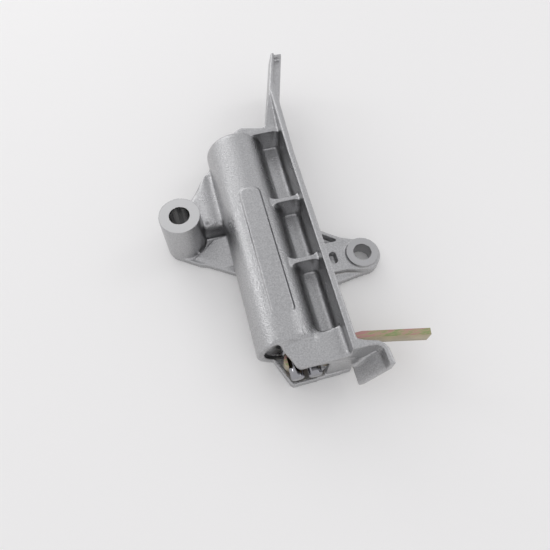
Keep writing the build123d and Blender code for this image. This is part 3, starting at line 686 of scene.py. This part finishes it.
ease = add(wind, "ShaderNodeMapRange", {"interpolation_type": "SMOOTHSTEP"}, Value=along)
climb = add(wind, "ShaderNodeMix", NUMBERS,
            {"Factor": CLOSER_ENDS, NUMBER_A: along, NUMBER_B: ease.outputs["Result"]})
across = add(wind, "ShaderNodeMath", {"operation": "MULTIPLY"}, {0: cosine.outputs[0], 1: given["Radius"]})
upward = add(wind, "ShaderNodeMath", {"operation": "MULTIPLY"}, {0: sine.outputs[0], 1: given["Radius"]})
rise = add(wind, "ShaderNodeMath", {"operation": "MULTIPLY_ADD"},
           {0: climb.outputs[0], 1: given["Length"], 2: given["Start"]})
point = add(wind, "ShaderNodeCombineXYZ", X=across.outputs[0], Y=rise.outputs[0], Z=upward.outputs[0])
centred = add(wind, "ShaderNodeVectorMath", {"operation": "ADD"},
              {0: point.outputs[0], 1: (TUBE_X, 0, TUBE_Z)})
spiral = add(wind, "GeometryNodeSetPosition", Geometry=many.outputs[0], Position=centred.outputs[0])
print("coil of", COIL_TURNS, "turns from", COIL_POINTS, "points, on the tube's axis")

# %% Run a round wire along the coil
WIRE_SIDES = 12

half_wire = add(wind, "ShaderNodeMath", {"operation": "MULTIPLY"}, {0: given["Wire"], 1: 0.5})
section = add(wind, "GeometryNodeCurvePrimitiveCircle", Radius=half_wire.outputs[0], Resolution=WIRE_SIDES)
wire = add(wind, "GeometryNodeCurveToMesh", Curve=spiral.outputs[0], Profile_Curve=section.outputs[0],
           Fill_Caps=True)
smooth = add(wind, "GeometryNodeSetShadeSmooth", None, {0: wire.outputs[0]})
painted = add(wind, "GeometryNodeSetMaterial", Geometry=smooth.outputs[0], Material=MATERIALS["spring_steel"])
real = add(wind, "GeometryNodeRealizeInstances", Geometry=painted.outputs[0])
wind.links.new(real.outputs[0], out)
print("wire with", WIRE_SIDES, "sides, the tree has", len(wind.nodes), "nodes")

# %% [markdown]
# ## The spring in its place
# An empty mesh carries the tree, and the frame's own spring gives the start and the length. The wire's
# middle runs half a wire inside both ends. When the plunger is pushed in, the real spring shortens
# towards the plug.

# %% Wind the spring to the frame's length
COIL_LENGTH = spring_high.y - spring_low.y

holder = bpy.data.objects.new("spring_holder", bpy.data.meshes.new("spring_holder"))
bpy.context.scene.collection.objects.link(holder)
winder = holder.modifiers.new("wind", "NODES")
winder.node_group = wind
set_input(winder, "Start", spring_low.y + COIL_WIRE / 2)
set_input(winder, "Length", COIL_LENGTH - COIL_WIRE)
coil = baked(holder, "coil_spring")
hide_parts("main_spring")
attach(coil, BODY_OF["main_spring"])
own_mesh(coil)
print("spring:", len(coil.data.polygons), "faces over", round(COIL_LENGTH / MM, 1), "mm")

# %% [markdown]
# ## A plain white table
# The part lies on a matt white table. It is far larger than the view, so that no edge of it shows, and
# a tenth of a millimetre lower than the foot, because two faces in one plane would flicker.

# %% Table
TABLE_SIZE = 6.0
TABLE_GAP_MM = 0.1
TABLE_COLOUR = "#f8f7f6"
TABLE_ROUGH = 0.55

bpy.ops.mesh.primitive_plane_add(size=TABLE_SIZE, location=(0, 0, -TABLE_GAP_MM * MM))
table = bpy.context.object
table.name = "table"
paper, _, paper_shader = new_material("matt_white_table")
paper_shader.inputs["Base Color"].default_value = linear(TABLE_COLOUR)
paper_shader.inputs["Roughness"].default_value = TABLE_ROUGH
table.data.materials.append(paper)
print("table:", TABLE_SIZE, "m wide,", TABLE_GAP_MM, "mm below the foot")

# %% [markdown]
# ## Light for a bright room
# A small lamp would throw hard shadows that the photograph doesn't have, so a pale world gives most
# of the light. The places of the side windows follow from mirror law: the long streak on the tube's
# left flank faces half way between the camera and its lamp, which puts that lamp low on the left, and
# the patch on the right flank puts the next one there. A third, wide window behind the part makes the
# table brighter at the top of the picture, as in the photo.

# %% World and windows
ROOM_COLOUR = "#f7f7f9"
ROOM_STRENGTH = 0.84
# The windows face this point, in metres, near the middle of the part.
MIDDLE = (0.04, -0.01, 0.01)
WINDOWS = {
    # name: (place in metres, side in metres, watts)
    "window_left": ((-0.80, 0.42, 0.46), 0.26, 0.58),
    "window_right": ((0.78, 0.12, 0.68), 0.3, 0.45),
    "window_back": ((-0.3, 1.05, 0.5), 0.8, 2.0),
}

world = bpy.data.worlds.new("room")
bpy.context.scene.world = world
world.use_nodes = True
room = world.node_tree.nodes["Background"]
room.inputs["Color"].default_value = linear(ROOM_COLOUR)
room.inputs["Strength"].default_value = ROOM_STRENGTH
for name, (where, side, watts) in WINDOWS.items():
    lamp = bpy.data.lights.new(name, "AREA")
    lamp.shape = "SQUARE"
    lamp.size = side
    lamp.energy = watts
    window = bpy.data.objects.new(name, lamp)
    window.location = where
    window.rotation_euler = (Vector(MIDDLE) - Vector(where)).to_track_quat("-Z", "Y").to_euler()
    bpy.context.scene.collection.objects.link(window)
print("windows:", list(WINDOWS), "all turned to", MIDDLE)

# %% [markdown]
# ## The camera
# The photograph looks down on the part from in front of its lower end. Fitting the round ends and
# straight edges gave the camera's place, its tilt of 63.5 degrees below level, a slight roll and the
# part's turn of 16 degrees on the table. The part stays at its own axes, so the turn is undone on the
# camera. The lens is given for a sensor 36 mm wide, and its middle lies one pixel left of the picture's.

# %% Camera from the fitted view
PITCH = math.radians(63.51)
ROLL = math.radians(1.62)
TURN = math.radians(16.0)
CAMERA_MM = Vector((43.13, -121.23, 212.84))
FOCAL_PX = 494.1
IMAGE_PX = 550
MIDDLE_OFF_PX = 1
SENSOR_MM = 36.0
NEAREST_MM = 5.0

forward = Vector((0, math.cos(PITCH), -math.sin(PITCH)))
level_right = Vector((1, 0, 0))
level_up = level_right.cross(forward)
right = math.cos(ROLL) * level_right + math.sin(ROLL) * level_up
up = math.cos(ROLL) * level_up - math.sin(ROLL) * level_right
axes = Matrix((right, up, -forward)).transposed().to_4x4()
lens = bpy.data.cameras.new("camera")
lens.sensor_width = SENSOR_MM
lens.lens = FOCAL_PX / IMAGE_PX * SENSOR_MM
lens.shift_x = MIDDLE_OFF_PX / IMAGE_PX
lens.clip_start = NEAREST_MM * MM
lens.dof.use_dof = False
camera = bpy.data.objects.new("camera", lens)
camera.matrix_world = Matrix.Rotation(-TURN, 4, "Z") @ Matrix.Translation(CAMERA_MM * MM) @ axes
bpy.context.scene.collection.objects.link(camera)
bpy.context.scene.camera = camera
bpy.context.scene.view_settings.view_transform = "Standard"
camera_at = [round(v / MM, 1) for v in camera.matrix_world.translation]
print("lens", round(lens.lens, 2), "mm, camera at", camera_at)
